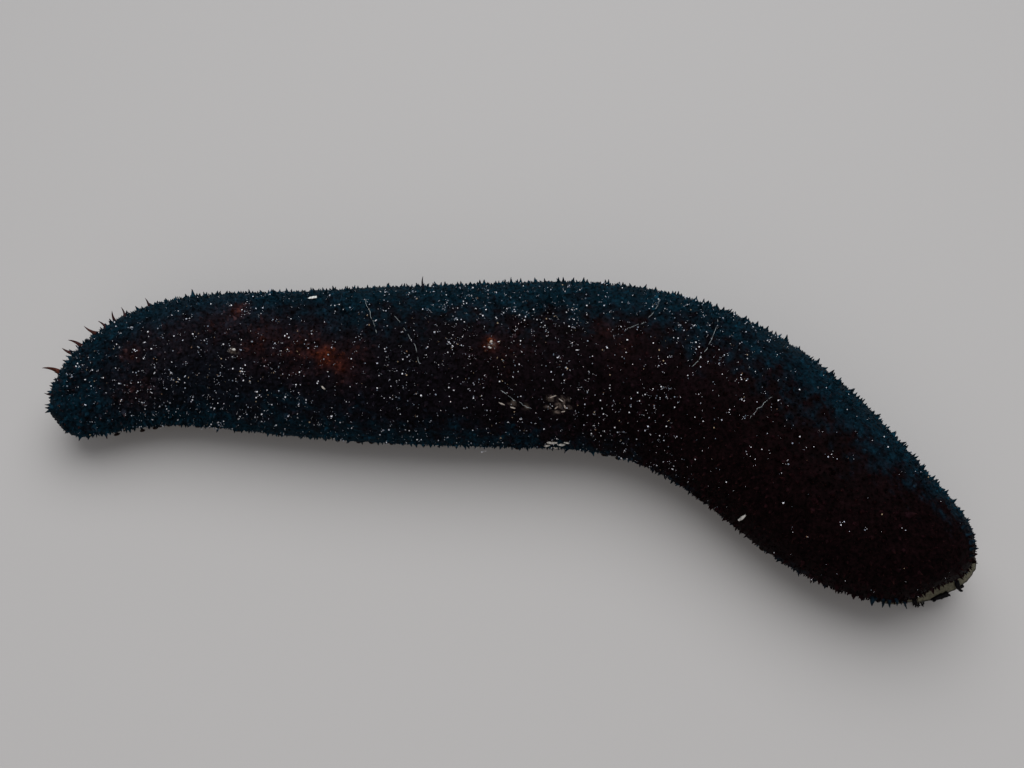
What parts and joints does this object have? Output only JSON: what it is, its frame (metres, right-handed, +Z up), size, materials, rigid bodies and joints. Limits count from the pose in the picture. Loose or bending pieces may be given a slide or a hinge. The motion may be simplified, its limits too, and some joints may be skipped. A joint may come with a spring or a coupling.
{
  "type": "sea cucumber",
  "caption": "Black sea cucumber lying on the floor, its body gently bent, with pointed papillae, tube feet, a ring of feeding tentacles and a vent.",
  "frame": {"origin": "on the floor, under the middle of the whole outline", "axes": "+X along the body towards its front end, +Y towards the body's left side, +Z up"},
  "size_m": [0.2602, 0.104, 0.0445],
  "materials": {
    "back_skin": "wet leathery skin, black with a maroon cast",
    "sole_skin": "wet leathery skin, dark brown",
    "tentacles": "soft, olive grey, slightly see-through",
    "vent_skin": "wet leathery skin, dark brown"
  },
  "bodies": {
    "root": {"oral_end": "back_skin", "front_trunk": "back_skin", "middle_trunk": "back_skin", "rear_trunk": "back_skin", "anal_end": "back_skin", "oral_sole": "sole_skin", "front_sole": "sole_skin", "middle_sole": "sole_skin", "rear_sole": "sole_skin", "anal_sole": "sole_skin", "mouth": "tentacles", "vent": "vent_skin"}
  },
  "joints": []
}
